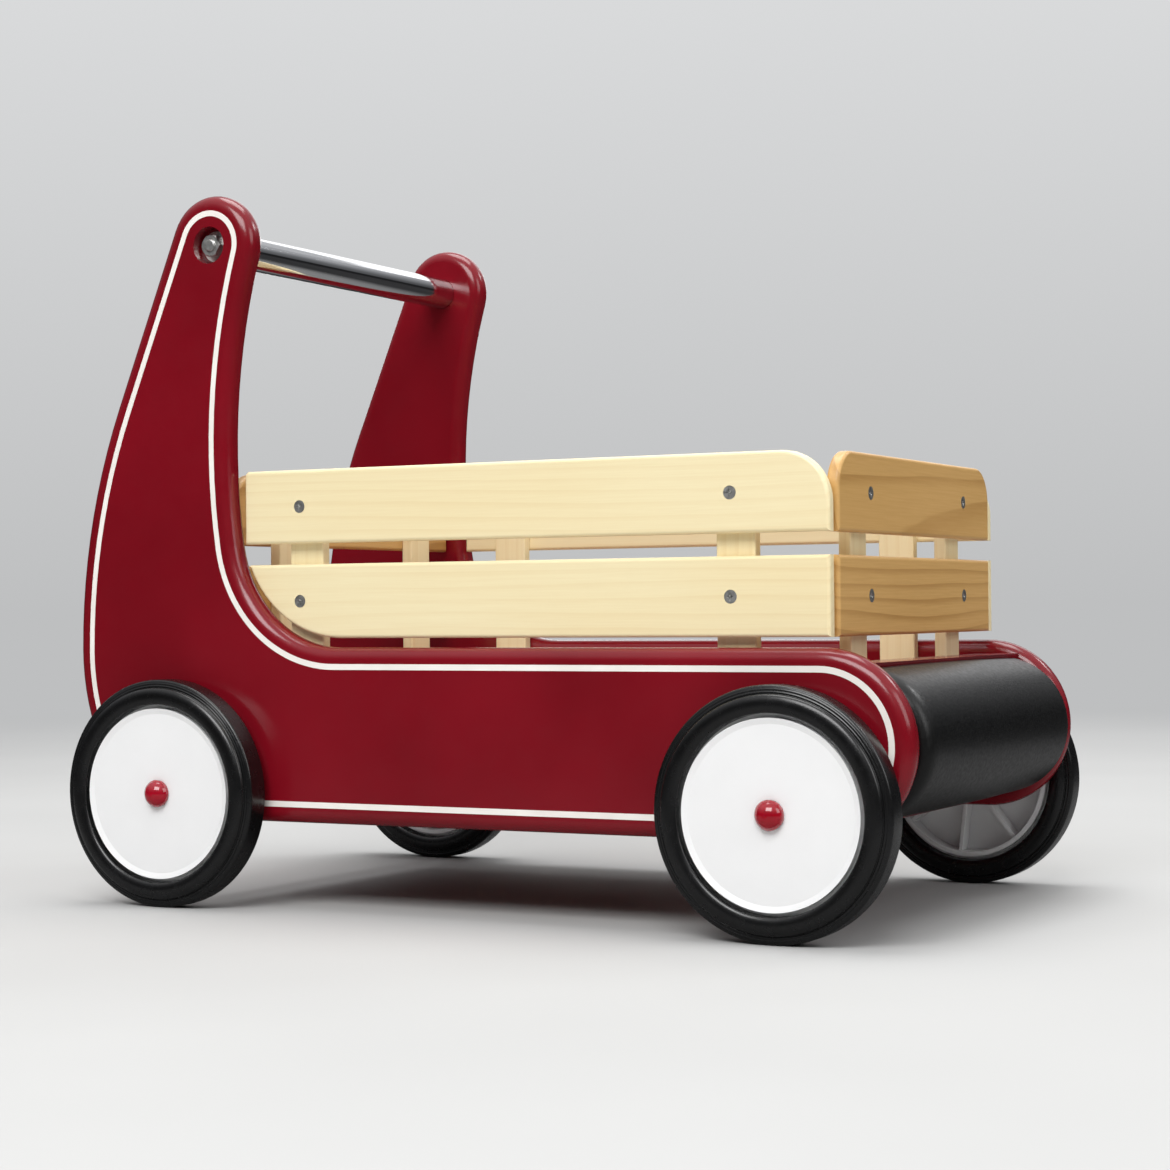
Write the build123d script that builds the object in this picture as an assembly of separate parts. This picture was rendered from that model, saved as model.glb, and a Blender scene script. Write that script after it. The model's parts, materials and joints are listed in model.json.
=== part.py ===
from build123d import *

import math
import os

# A child's wooden push-walker wagon: two shaped side panels carry a bed, a push bar, a foam bumper,
# four lift-out rail sections and four rubber-tyred wheels on steel axles.
# X points forwards to the bumper, Y to the wagon's left and Z up from the floor. Sizes are in mm.

# Overall sizes
OVERALL_LENGTH = 586.5         # back of the uprights to the tip of the panels' noses
OVERALL_HEIGHT = 458.5         # floor to the top of the uprights
BODY_WIDTH = 306.0             # over the outer faces of the side panels
GROUND_CLEARANCE = 55.0        # floor to the lower edge of the side panels
BODY_DEPTH = 111.0             # lower to upper edge of the side panels along the bed

# Side panels
PANEL_THICKNESS = 18.0
PANEL_ROUND = 8.0              # rounding of every panel edge
UPRIGHT_RADIUS = 32.5          # round top of the upright
BAR_SETBACK = 109.4            # back of the upright to the push bar's axis
WAIST_SETBACK = 122.5          # back of the upright to its foremost waist
BACK_LEAN = 22.6               # lean of the upright's back, in degrees
BACK_WIDEST = 109.7            # lower edge up to where the back stands furthest out
WAIST_ARC = 420.0
SWEEP_RADIUS = 77.0            # hollow curve from the upright down to the bed's upper edge
HEEL_ARC = 150.0               # lower back of the panel, long arc and then corner
HEEL_CORNER = 75.0

# Push bar and its through rod
BAR_DIAMETER = 22.2
BAR_WALL = 1.5
BAR_SOCKET = 3.0               # depth of the bar's seat in each panel
ROD_DIAMETER = 8.0
ROD_RECESS = 0.5               # rod's end below the panel's outer face
NUT_ACROSS_FLATS = 13.0
NUT_HEIGHT = 6.5
WASHER_DIAMETER = 20.0
WASHER_THICKNESS = 1.6
COUNTERBORE_DIAMETER = 24.0
COUNTERBORE_DEPTH = 10.0

# Wheels and axles
WHEEL_DIAMETER = 146.0
TYRE_WIDTH = 24.0
RIM_DIAMETER = 109.0
RIM_WALL = 3.0
RIM_HALF_WIDTH = 9.3
RIDGE_HEIGHT = 2.5             # ridge round the rim that locks into the tyre
RIDGE_HALF_WIDTH = 3.4
DISC_THICKNESS = 2.7
DISC_RECESS = 1.3              # disc face below the rim's outer edge
HUB_DIAMETER = 22.0
HUB_HALF_LENGTH = 11.5         # wheel's middle plane to the hub's inner end
RIB_COUNT = 8
RIB_THICKNESS = 2.4
RIB_ANGLE = 7.5                # first rib, from straight down
TYRE_GAP = 2.8                 # side panel to tyre
AXLE_DIAMETER = 8.0
FRONT_AXLE_SETBACK = 75.9      # panel's nose to the front axle
REAR_AXLE_SETBACK = 83.4       # back of the panel to the rear axle
BUSHING_DIAMETER = 14.0
BUSHING_FLANGE_DIAMETER = 20.0
BUSHING_FLANGE = 1.2
SPACER_DIAMETER = 16.0
CAP_DIAMETER = 17.5
CAP_HEIGHT = 8.0
CAP_SKIRT = 2.2
CAP_SEAT = 6.0                 # depth of the axle in its cap
PUSH_NUT_DIAMETER = 12.6
PUSH_NUT_THICKNESS = 0.9

# Bed
BOARD_THICKNESS = 12.0
BOARD_BELOW_TOP = 9.0          # end boards' upper edge below the panels' upper edge
BOARD_RISE = 7.0               # end boards' lower edge above the panels' lower edge
BOARD_ROUND = 2.0
FLOOR_THICKNESS = 9.0
FLOOR_OVER_AXLE = 7.0
CLEAT_WIDTH = 12.0
CLEAT_HEIGHT = 15.0
CLEAT_LENGTH = 340.0
DOWEL_DIAMETER = 6.0
DOWEL_LENGTH = 24.0
DOWEL_INSET = 17.5             # end boards' upper and lower edges to their dowels

# Bumper
PAD_BELOW_NOSE = 3.0           # pad's surface below the outline of the panels' noses
PAD_THICKNESS = 8.0
PAD_TOP_ANGLE = 60.0           # upper end of the pad, above straight ahead, in degrees
PAD_RISE = 12.0                # pad's lower edge above the panels' lower edge
PAD_END_GAP = 1.0

# Rail sections
RAIL_HEIGHT = 47.0
RAIL_THICKNESS = 8.0
RAIL_SPACING = 13.3            # gap between lower and upper rail
RAIL_ROUND = 2.2
LOWER_RAIL_LIFT = 5.9          # lower rail above the panels' upper edge
SIDE_RAIL_SETBACK = 52.1       # panel's nose to the front end of the side rails
SIDE_RAIL_CORNER = 30.0
SIDE_RAIL_BACK_CORNER = 3.0
RAIL_SWEEP_LESS = 2.0          # lower side rail's rounded back end, less than the panel's sweep
RAIL_END_GAP = 1.8             # side rails to the upright, at the nearest point of their lift
LIFT = 60.0                    # travel that takes a section's stakes out of their pockets
FRONT_RAIL_SETBACK = 50.5      # panel's nose to the front rails' outer face
REAR_RAIL_SETBACK = 106.5      # back of the panel to the rear rails' outer face
END_RAIL_GAP = 2.8             # end rails short of the panels' inner faces, each side
END_RAIL_CORNER = 22.0
STAKE_WIDTH = 25.0
STAKE_THICKNESS = 8.0
STAKE_BELOW_TOP = 6.0
STAKE_INSET = 53.2             # end stakes' middle from the panels' inner faces
SIDE_STAKE_FRONT = 114.1       # panel's nose to the front side stake's middle
SIDE_STAKE_REAR = 39.5         # lower side rail's back end to the rear stake's middle

# Stake pockets
POCKET_SHEET = 1.5
POCKET_RISE = 7.0              # above the floor
POCKET_HEIGHT = 48.0
POCKET_FLANGE = 13.0

# Screws
RAIL_SCREW = (4.0, 8.0, 14.0)      # shank diameter, head diameter, length
POCKET_SCREW = (3.5, 7.0, 10.0)
BLOCK_SCREW = (4.5, 9.0, 30.0)
CLEAT_SCREW = (4.0, 8.0, 22.0)
FLOOR_SCREW = (4.0, 8.0, 21.0)
HEAD_CONE = 2.6                # depth of a flat head
HEAD_PAN = 2.2                 # height of a pan head
CROSS_WIDTH = 1.1
BLOCK_SCREW_CLEAR = 13.0       # outer bumper screws to the front pockets
BLOCK_SCREW_RISE = 10.0        # above the nose's centre
CLEAT_SCREW_STEP = 145.0
FLOOR_SCREW_STEP = 90.0
FLOOR_SCREW_SHIFT = 35.0       # keeps the floor screws clear of the cleat screws

# Clearances
SLIDE_GAP = 0.3                # stake to the wall behind it, and to the floor under it
POCKET_GAP = 0.4               # stake to its pocket
SEAT_GAP = 0.1                 # between round parts that are fixed in each other
RUNNING_GAP = 0.08             # radial, between axle and hub or bushing
SOFT_GAP = 0.3                 # pad to the block behind it
FACE_GAP = 0.2                 # end play at each face of a spacer

# Places worked out from the sizes
rear_x = -OVERALL_LENGTH / 2
front_x = OVERALL_LENGTH / 2
body_bottom = GROUND_CLEARANCE
body_top = GROUND_CLEARANCE + BODY_DEPTH
outer_y = BODY_WIDTH / 2
inner_y = outer_y - PANEL_THICKNESS
nose_radius = BODY_DEPTH / 2
nose_x = front_x - nose_radius
nose_z = body_bottom + nose_radius
bar_x = rear_x + BAR_SETBACK
bar_z = OVERALL_HEIGHT - UPRIGHT_RADIUS
axle_z = WHEEL_DIAMETER / 2
back_z = body_bottom + BACK_WIDEST
front_axle_x = front_x - FRONT_AXLE_SETBACK
rear_axle_x = rear_x + REAR_AXLE_SETBACK

# Centres of the arcs that meet smoothly along the upright's front edge
waist_x = rear_x + WAIST_SETBACK + WAIST_ARC
waist_z = bar_z - math.sqrt((WAIST_ARC + UPRIGHT_RADIUS) ** 2 - (waist_x - bar_x) ** 2)
sweep_z = body_top + SWEEP_RADIUS
sweep_x = waist_x - math.sqrt((WAIST_ARC - SWEEP_RADIUS) ** 2 - (waist_z - sweep_z) ** 2)

# Bed, rails and stakes
lower_rail_z = body_top + LOWER_RAIL_LIFT
upper_rail_z = lower_rail_z + RAIL_HEIGHT + RAIL_SPACING
rail_heights = (lower_rail_z + RAIL_HEIGHT / 2, upper_rail_z + RAIL_HEIGHT / 2)
floor_bottom = axle_z + AXLE_DIAMETER / 2 + FLOOR_OVER_AXLE
floor_top = floor_bottom + FLOOR_THICKNESS
board_bottom = body_bottom + BOARD_RISE
board_top = body_top - BOARD_BELOW_TOP
dowel_heights = (board_bottom + DOWEL_INSET, board_top - DOWEL_INSET)
pad_bottom = body_bottom + PAD_RISE
pocket_bottom = floor_top + POCKET_RISE
end_stakes = (STAKE_INSET - inner_y, inner_y - STAKE_INSET)
front_stake_x = front_x - FRONT_RAIL_SETBACK - RAIL_THICKNESS
rear_stake_x = rear_x + REAR_RAIL_SETBACK + RAIL_THICKNESS
front_board_x = front_stake_x + SLIDE_GAP
rear_board_x = rear_stake_x - SLIDE_GAP

# Wheel stations, as distances from the wagon's middle plane
wheel_middle = outer_y + TYRE_GAP + TYRE_WIDTH / 2
hub_end = wheel_middle - HUB_HALF_LENGTH
disc_face = wheel_middle + RIM_HALF_WIDTH - DISC_RECESS
cap_base = disc_face + SOFT_GAP
axle_end = cap_base + CAP_SEAT
bore_radius = AXLE_DIAMETER / 2 + RUNNING_GAP

# Each rail section is drawn flat: x along the rails, y up, z outwards from the stakes' outer face.
right_frame = Plane(origin=(0, SLIDE_GAP - inner_y, 0), x_dir=(1, 0, 0), z_dir=(0, -1, 0))
front_frame = Plane(origin=(front_stake_x, 0, 0), x_dir=(0, 1, 0), z_dir=(1, 0, 0))
rear_frame = Plane(origin=(rear_stake_x, 0, 0), x_dir=(0, -1, 0), z_dir=(-1, 0, 0))
sections = {"right": right_frame, "front": front_frame, "rear": rear_frame}


def rod(start, direction, radius, length):
    """A round bar from a start point along a direction."""
    return extrude(Plane(origin=start, z_dir=direction) * Circle(radius), amount=length)


def ring(radius, bore, bottom, top):
    """A washer or sleeve about the Z axis."""
    return extrude(Plane.XY.offset(bottom) * (Circle(radius) - Circle(bore)), amount=top - bottom)


def left_of(piece):
    """The matching piece on the wagon's left."""
    return mirror(piece, about=Plane.XZ)


def arc(centre, start, end):
    """The arc of less than half a turn about a centre."""
    centre, start, end = Vector(*centre), Vector(*start), Vector(*end)
    middle = centre + (start - centre + end - centre).normalized() * (start - centre).length
    return ThreePointArc(start, middle, end)


def cross_recess(head_diameter):
    """The tapered cross of a screw's driver recess, cut down from z = 0."""
    wing = head_diameter * 0.58
    cross = Box(wing, CROSS_WIDTH, 1.4) + Box(CROSS_WIDTH, wing, 1.4)
    point = Pos(Z=-1.1) * Cone(0.4, 1.3, 2.2)
    return cross + point


def flat_screw(size, clearance=0.0):
    """A flat-headed screw along -Z with its head's face at z = 0, or the hole for it."""
    shank, head, length = size
    radius = shank / 2 + clearance
    head_radius = head / 2 + clearance
    bottom = -length - clearance
    profile = Polyline(
        (0, bottom), (radius, bottom), (radius, -HEAD_CONE), (head_radius, 0), (0, 0), close=True
    )
    solid = revolve(Plane.XZ * make_face(profile), axis=Axis.Z)
    if clearance:
        return solid
    return solid - cross_recess(head)


def pan_screw(size):
    """A pan-headed screw along -Z, seated at z = 0."""
    shank, head, length = size
    dome = rod((0, 0, 0), (0, 0, 1), head / 2, HEAD_PAN)
    dome = fillet(dome.edges().group_by(Axis.Z)[-1], HEAD_PAN * 0.6)
    dome -= Pos(Z=HEAD_PAN) * cross_recess(head)
    return dome + rod((0, 0, 0), (0, 0, -1), shank / 2, length)


def facing(point, direction, piece):
    """A piece drawn about Z, turned so that its Z points along the direction, at a point."""
    return Plane(origin=point, z_dir=direction) * piece


def front_edge(z):
    """Where the upright's front edge is at a height: on the sweep, or on the long arc above it."""
    join_z = sweep_z - (waist_z - sweep_z) * SWEEP_RADIUS / (WAIST_ARC - SWEEP_RADIUS)
    if z < join_z:
        return sweep_x - math.sqrt(SWEEP_RADIUS ** 2 - (sweep_z - z) ** 2)
    return waist_x - math.sqrt(WAIST_ARC ** 2 - (z - waist_z) ** 2)


def rail_back_end(bottom):
    """Where a side rail ends behind, so that it clears the upright at rest and when lifted out."""
    heights = (bottom, bottom + RAIL_HEIGHT, bottom + RAIL_HEIGHT + LIFT)
    return max(front_edge(z) for z in heights) + RAIL_END_GAP


# Screw places: a point on the outer surface and the direction that the head faces
pocket_half = STAKE_WIDTH / 2 + POCKET_GAP + POCKET_SHEET + POCKET_FLANGE
block_screw_y = inner_y - STAKE_INSET - pocket_half - BLOCK_SCREW_CLEAR
block_screws = [((front_board_x, y, nose_z + BLOCK_SCREW_RISE), (-1, 0, 0))
                for y in (-block_screw_y, 0.0, block_screw_y)]
cleat_screws = [((x, CLEAT_WIDTH - inner_y, floor_bottom - CLEAT_HEIGHT / 2), (0, 1, 0))
                for x in (-CLEAT_SCREW_STEP, 0.0, CLEAT_SCREW_STEP)]
floor_screws = [((x + FLOOR_SCREW_SHIFT, CLEAT_WIDTH / 2 - inner_y, floor_bottom - CLEAT_HEIGHT),
                 (0, 0, -1)) for x in (-FLOOR_SCREW_STEP, 0.0, FLOOR_SCREW_STEP)]
pocket_screw_u = pocket_half - POCKET_FLANGE / 2
pocket_screw_z = pocket_bottom + POCKET_HEIGHT / 2
lower_rail_back = front_edge(lower_rail_z + RAIL_HEIGHT) + RAIL_END_GAP
side_stakes = (lower_rail_back + SIDE_STAKE_REAR, front_x - SIDE_STAKE_FRONT)
stake_places = {"right": side_stakes, "front": end_stakes, "rear": end_stakes}


def pocket_screw_places(name):
    """Head seats of a section's pocket screws, in the section's flat frame."""
    seat = SLIDE_GAP - POCKET_SHEET
    return [(u + side * pocket_screw_u, pocket_screw_z, seat)
            for u in stake_places[name] for side in (-1, 1)]


def pocket_screw_holes(name):
    """Pilot holes in the wall behind a section's pockets."""
    shank, _, length = POCKET_SCREW
    depth = length + SEAT_GAP
    return [sections[name] * rod(place, (0, 0, 1), shank / 2 + SEAT_GAP, depth)
            for place in pocket_screw_places(name)]


def dowels():
    """The eight dowels that join the end boards to the panels, those on the right."""
    places = [front_board_x + BOARD_THICKNESS / 2, rear_board_x - BOARD_THICKNESS / 2]
    return [(x, -inner_y + DOWEL_LENGTH / 2, z) for x in places for z in dowel_heights]


def dowel(place, clearance=0.0):
    """One dowel, or its hole."""
    x, y, z = place
    radius = DOWEL_DIAMETER / 2 + clearance
    return rod((x, y + clearance, z), (0, -1, 0), radius, DOWEL_LENGTH + 2 * clearance)


def side_outline():
    """The side panel's outline, in X and Z."""
    lean = math.radians(BACK_LEAN)
    normal = Vector(-math.cos(lean), math.sin(lean))
    back_top = Vector(bar_x, bar_z) + normal * UPRIGHT_RADIUS
    back_radius = normal.dot(back_top - Vector(rear_x, back_z)) / (1 + normal.X)
    back_x = rear_x + back_radius
    back_arc_top = Vector(back_x, back_z) + normal * back_radius
    heel_x = rear_x + HEEL_ARC
    corner_z = body_bottom + HEEL_CORNER
    corner_x = heel_x - math.sqrt((HEEL_ARC - HEEL_CORNER) ** 2 - (back_z - corner_z) ** 2)
    corner = Vector(corner_x, corner_z)
    heel_end = corner + (corner - Vector(heel_x, back_z)).normalized() * HEEL_CORNER
    waist = Vector(waist_x, waist_z)
    sweep = Vector(sweep_x, sweep_z)
    bar = Vector(bar_x, bar_z)
    top_end = bar + (waist - bar).normalized() * UPRIGHT_RADIUS
    waist_end = sweep + (sweep - waist).normalized() * SWEEP_RADIUS
    edges = [
        Line((sweep_x, body_top), (nose_x, body_top)),
        ThreePointArc((nose_x, body_top), (front_x, nose_z), (nose_x, body_bottom)),
        Line((nose_x, body_bottom), (corner_x, body_bottom)),
        arc(corner, (corner_x, body_bottom), heel_end),
        arc((heel_x, back_z), heel_end, (rear_x, back_z)),
        arc((back_x, back_z), (rear_x, back_z), back_arc_top),
        Line(back_arc_top, back_top),
        ThreePointArc(back_top, (bar_x, OVERALL_HEIGHT), top_end),
        arc(waist, top_end, waist_end),
        arc(sweep, waist_end, (sweep_x, body_top)),
    ]
    return make_face(Wire(edges))


def side_panel():
    """The right-hand side panel."""
    panel = extrude(Plane.XZ.offset(inner_y) * side_outline(), amount=PANEL_THICKNESS)
    faces = panel.faces().sort_by(Axis.Y)
    rounding = min(PANEL_ROUND, 0.45 * PANEL_THICKNESS)
    panel = fillet(faces[0].edges() + faces[-1].edges(), rounding)
    cuts = [
        rod((bar_x, 0, bar_z), (0, -1, 0), ROD_DIAMETER / 2 + 3 * SEAT_GAP, BODY_WIDTH),
        rod((bar_x, 0, bar_z), (0, -1, 0), BAR_DIAMETER / 2 + SEAT_GAP, inner_y + BAR_SOCKET),
        rod((bar_x, -outer_y, bar_z), (0, 1, 0), COUNTERBORE_DIAMETER / 2, COUNTERBORE_DEPTH),
    ]
    for x in (front_axle_x, rear_axle_x):
        cuts.append(rod((x, 0, axle_z), (0, -1, 0), BUSHING_DIAMETER / 2 + SEAT_GAP, BODY_WIDTH))
    cuts += [dowel(place, SEAT_GAP) for place in dowels()]
    cuts += [facing(place, way, flat_screw(CLEAT_SCREW, SEAT_GAP)) for place, way in cleat_screws]
    cuts += pocket_screw_holes("right")
    return panel - cuts


def end_board(board_x, way, name):
    """The front or rear board of the bed: its stakes' side is at board_x."""
    height = board_top - board_bottom
    middle = (board_x + way * BOARD_THICKNESS / 2, 0, board_bottom + height / 2)
    board = Pos(middle) * Box(BOARD_THICKNESS, 2 * inner_y, height)
    board = fillet(board.edges().filter_by(Axis.Y).group_by(Axis.Z)[-1], BOARD_ROUND)
    cuts = pocket_screw_holes(name)
    for place in dowels():
        cuts += [dowel(place, SEAT_GAP), left_of(dowel(place, SEAT_GAP))]
    if name == "front":
        cuts += [facing(place, to, flat_screw(BLOCK_SCREW, SEAT_GAP)) for place, to in block_screws]
    return board - cuts


def floor_board():
    """The bed's floor, between the end boards and the panels."""
    length = front_board_x - rear_board_x
    middle = ((front_board_x + rear_board_x) / 2, 0, floor_bottom + FLOOR_THICKNESS / 2)
    board = Pos(middle) * Box(length, 2 * inner_y, FLOOR_THICKNESS)
    holes = [facing(place, way, flat_screw(FLOOR_SCREW, SEAT_GAP)) for place, way in floor_screws]
    return board - holes - [left_of(hole) for hole in holes]


def floor_cleat():
    """The right-hand strip under the floor."""
    middle = (0, CLEAT_WIDTH / 2 - inner_y, floor_bottom - CLEAT_HEIGHT / 2)
    cleat = Pos(middle) * Box(CLEAT_LENGTH, CLEAT_WIDTH, CLEAT_HEIGHT)
    holes = [facing(place, way, flat_screw(CLEAT_SCREW, SEAT_GAP)) for place, way in cleat_screws]
    holes += [facing(place, way, flat_screw(FLOOR_SCREW, SEAT_GAP)) for place, way in floor_screws]
    return cleat - holes


def bumper_section(outer, inner):
    """A slice of the bumper between two radii about the nose's centre, ahead of the front board."""
    board_front = front_board_x + BOARD_THICKNESS
    top_angle = math.radians(PAD_TOP_ANGLE)
    slope = Vector(math.cos(top_angle), math.sin(top_angle))
    centre = Vector(nose_x, nose_z)
    reach = 2 * outer
    wedge = Polyline(centre + slope * reach, centre, (nose_x, nose_z - reach),
                     (nose_x + reach, nose_z - reach), (nose_x + reach, nose_z), close=True)
    slice_ = Pos(nose_x, nose_z) * (Circle(outer) - Circle(inner)) & make_face(wedge)
    keep = Pos(board_front + reach / 2, pad_bottom + reach / 2) * Rectangle(reach, reach)
    return slice_ & keep


def bumper_block():
    """The wood block behind the foam, with the flat strip that shows above it."""
    board_front = front_board_x + BOARD_THICKNESS
    outer = nose_radius - PAD_BELOW_NOSE
    inner = outer - PAD_THICKNESS - SOFT_GAP
    top_angle = math.radians(PAD_TOP_ANGLE)
    foot = Vector(nose_x, nose_z) + Vector(math.cos(top_angle), math.sin(top_angle)) * inner
    lip_x = nose_x + math.sqrt(outer ** 2 - (board_top - nose_z) ** 2)
    round_part = Pos(nose_x, nose_z) * Circle(inner)
    lip = make_face(Polyline((board_front, board_top), (lip_x - SOFT_GAP, board_top),
                             foot - Vector(SOFT_GAP, 0), (board_front, foot.Y), close=True))
    reach = 2 * outer
    height = board_top - pad_bottom
    keep = Pos(board_front + reach / 2, pad_bottom + height / 2) * Rectangle(reach, height)
    section = (round_part & keep) + lip
    block = extrude(Plane.XZ.offset(-inner_y) * section, amount=2 * inner_y)
    return block - [facing(place, way, flat_screw(BLOCK_SCREW, SEAT_GAP))
                    for place, way in block_screws]


def bumper_pad():
    """The foam pad, as a plain shell of even thickness."""
    outer = nose_radius - PAD_BELOW_NOSE
    half = inner_y - PAD_END_GAP
    shell = bumper_section(outer, outer - PAD_THICKNESS)
    return extrude(Plane.XZ.offset(-half) * shell, amount=2 * half)


def rail(outline):
    """A rail from its flat outline, with every edge eased."""
    blank = extrude(outline, amount=RAIL_THICKNESS)
    faces = blank.faces().sort_by(Axis.Z)
    return fillet(faces[0].edges() + faces[-1].edges(), RAIL_ROUND)


def rail_holes(name):
    """The holes for a section's rail screws, in its flat frame."""
    return [Pos(place) * flat_screw(RAIL_SCREW, SEAT_GAP) for place in rail_screw_places(name)]


def rail_screw_places(name):
    """The rail screws' heads, in a section's flat frame."""
    return [(u, height, RAIL_THICKNESS) for u in stake_places[name] for height in rail_heights]


def rail_blank(start, end, bottom):
    """The plain outline of a rail."""
    middle = ((start + end) / 2, bottom + RAIL_HEIGHT / 2)
    return Pos(middle) * Rectangle(end - start, RAIL_HEIGHT)


def corner_of(sketch, x_end, y_end):
    """The corner at one end of x (-1 or 0) and one end of y (-1 or 0)."""
    return sketch.vertices().group_by(Axis.Y)[y_end].sort_by(Axis.X)[x_end]


def side_rails():
    """The right-hand section's lower and upper rail, flat."""
    front_end = front_x - SIDE_RAIL_SETBACK
    lower_top = lower_rail_z + RAIL_HEIGHT
    radius = SWEEP_RADIUS - RAIL_SWEEP_LESS
    round_z = lower_rail_z + radius
    round_x = lower_rail_back + math.sqrt(radius ** 2 - (round_z - lower_top) ** 2)
    lower = make_face(Wire([
        Line((lower_rail_back, lower_top), (front_end, lower_top)),
        Line((front_end, lower_top), (front_end, lower_rail_z)),
        Line((front_end, lower_rail_z), (round_x, lower_rail_z)),
        arc((round_x, round_z), (round_x, lower_rail_z), (lower_rail_back, lower_top)),
    ]))
    upper = rail_blank(rail_back_end(upper_rail_z), front_end, upper_rail_z)
    upper = fillet(corner_of(upper, -1, -1), SIDE_RAIL_CORNER)
    upper = fillet(corner_of(upper, 0, -1), SIDE_RAIL_BACK_CORNER)
    return rail(lower), rail(upper)


def end_rails():
    """The front or rear section's lower and upper rail, flat."""
    half = inner_y - END_RAIL_GAP
    upper = rail_blank(-half, half, upper_rail_z)
    upper = fillet(upper.vertices().group_by(Axis.Y)[-1], END_RAIL_CORNER)
    return rail(rail_blank(-half, half, lower_rail_z)), rail(upper)


def stake(u):
    """One stake, flat, from just above the floor to just below the upper rail's top."""
    bottom = floor_top + SLIDE_GAP
    top = upper_rail_z + RAIL_HEIGHT - STAKE_BELOW_TOP
    middle = (u, (bottom + top) / 2, -STAKE_THICKNESS / 2)
    post = Pos(middle) * Box(STAKE_WIDTH, top - bottom, STAKE_THICKNESS)
    post = fillet(post.edges().filter_by(Axis.Y), 1.2)
    return chamfer(post.edges().group_by(Axis.Y)[0], 1.0)


def pocket(u):
    """A folded steel hat section that holds one stake against the wall, flat."""
    inside = STAKE_WIDTH / 2 + POCKET_GAP
    side = inside + POCKET_SHEET
    back = -STAKE_THICKNESS - POCKET_GAP
    width = side + POCKET_FLANGE
    hat = Polyline(
        (inside, SLIDE_GAP), (inside, back), (-inside, back), (-inside, SLIDE_GAP),
        (-width, SLIDE_GAP), (-width, SLIDE_GAP - POCKET_SHEET), (-side, SLIDE_GAP - POCKET_SHEET),
        (-side, back - POCKET_SHEET), (side, back - POCKET_SHEET),
        (side, SLIDE_GAP - POCKET_SHEET), (width, SLIDE_GAP - POCKET_SHEET), (width, SLIDE_GAP),
        close=True
    )
    plan = Pos(u, pocket_bottom, 0) * Rot(X=90) * make_face(hat)
    solid = extrude(plan, amount=POCKET_HEIGHT, dir=(0, 1, 0))
    corners = solid.edges().filter_by(Axis.Y).group_by(Axis.Z)[0]
    solid = fillet(corners, POCKET_SHEET * 0.9)
    shank = POCKET_SCREW[0]
    holes = [rod((u + way * pocket_screw_u, pocket_screw_z, -20), (0, 0, 1),
                 shank / 2 + SEAT_GAP, 40) for way in (-1, 1)]
    return solid - holes


def tyre():
    """The rubber tyre about its own axis, Z outboard: round sidewalls, grooved shoulders, flat tread."""
    radius = WHEEL_DIAMETER / 2
    seat = RIM_DIAMETER / 2 + SEAT_GAP
    half = TYRE_WIDTH / 2
    edge = RIM_HALF_WIDTH
    bulge = seat + 0.34 * (radius - seat)
    groove = seat + 0.68 * (radius - seat)
    half_outline = [
        Line((seat, edge), (seat, 0)),
        ThreePointArc((seat, edge), (bulge, half), (groove, edge)),
        Line((groove, edge), (groove + 0.5, edge - 0.8)),
        Line((groove + 0.5, edge - 0.8), (groove + 1.1, edge - 0.1)),
        ThreePointArc((groove + 1.1, edge - 0.1), (radius - 1.3, edge - 0.7), (radius, edge - 2.6)),
        Line((radius, edge - 2.6), (radius - 0.6, edge - 3.0)),
        Line((radius - 0.6, edge - 3.0), (radius, edge - 3.4)),
        Line((radius, edge - 3.4), (radius, 0)),
        Line((radius, 0), (seat, 0)),
    ]
    outboard = revolve(Plane.XZ * make_face(Wire(half_outline)), axis=Axis.Z)
    band = outboard + mirror(outboard, about=Plane.XY)
    ridge = RIM_DIAMETER / 2 + RIDGE_HEIGHT + SEAT_GAP
    return band - ring(ridge, seat - 1, -RIDGE_HALF_WIDTH - SEAT_GAP, RIDGE_HALF_WIDTH + SEAT_GAP)


def rim():
    """The moulded wheel: disc, barrel, hub and ribs, about its own axis, Z outboard."""
    outer = RIM_DIAMETER / 2
    inner = outer - RIM_WALL
    hub = HUB_DIAMETER / 2
    face = RIM_HALF_WIDTH - DISC_RECESS
    back = face - DISC_THICKNESS
    profile = Polyline(
        (bore_radius, -HUB_HALF_LENGTH), (hub, -HUB_HALF_LENGTH), (hub, back), (inner, back),
        (inner, -RIM_HALF_WIDTH), (outer, -RIM_HALF_WIDTH), (outer, RIM_HALF_WIDTH),
        (inner - 0.5, face), (bore_radius, face), close=True
    )
    wheel = revolve(Plane.XZ * make_face(profile), axis=Axis.Z)
    wheel += ring(outer + RIDGE_HEIGHT, outer - 1, -RIDGE_HALF_WIDTH, RIDGE_HALF_WIDTH)
    height = back + 0.2 + RIM_HALF_WIDTH * 0.7
    length = inner - hub + 2
    for number in range(RIB_COUNT):
        rib = Pos(hub - 1 + length / 2, 0, back + 0.2 - height / 2) * Box(length, RIB_THICKNESS, height)
        wheel += Rot(Z=RIB_ANGLE + 360 / RIB_COUNT * number) * rib
    return wheel


def hub_cap():
    """A domed cap with its hollow for the push nut, at its place along the axle."""
    radius = CAP_DIAMETER / 2
    skirt = cap_base + CAP_SKIRT
    top = cap_base + CAP_HEIGHT
    bore = AXLE_DIAMETER / 2 + SEAT_GAP / 2
    rise = top - skirt
    ball = (radius ** 2 + rise ** 2) / (2 * rise)
    outline = [Line((0, cap_base), (radius, cap_base)), Line((radius, cap_base), (radius, skirt)),
               arc((0, top - ball), (radius, skirt), (0, top)), Line((0, top), (0, cap_base))]
    cap = revolve(Plane.XZ * make_face(Wire(outline)), axis=Axis.Z)
    hollow = rod((0, 0, cap_base), (0, 0, 1), bore, CAP_SEAT)
    nut_room = rod((0, 0, cap_base), (0, 0, 1), PUSH_NUT_DIAMETER / 2 + SEAT_GAP,
                   PUSH_NUT_THICKNESS + 0.4)
    return cap - hollow - nut_room


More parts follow.
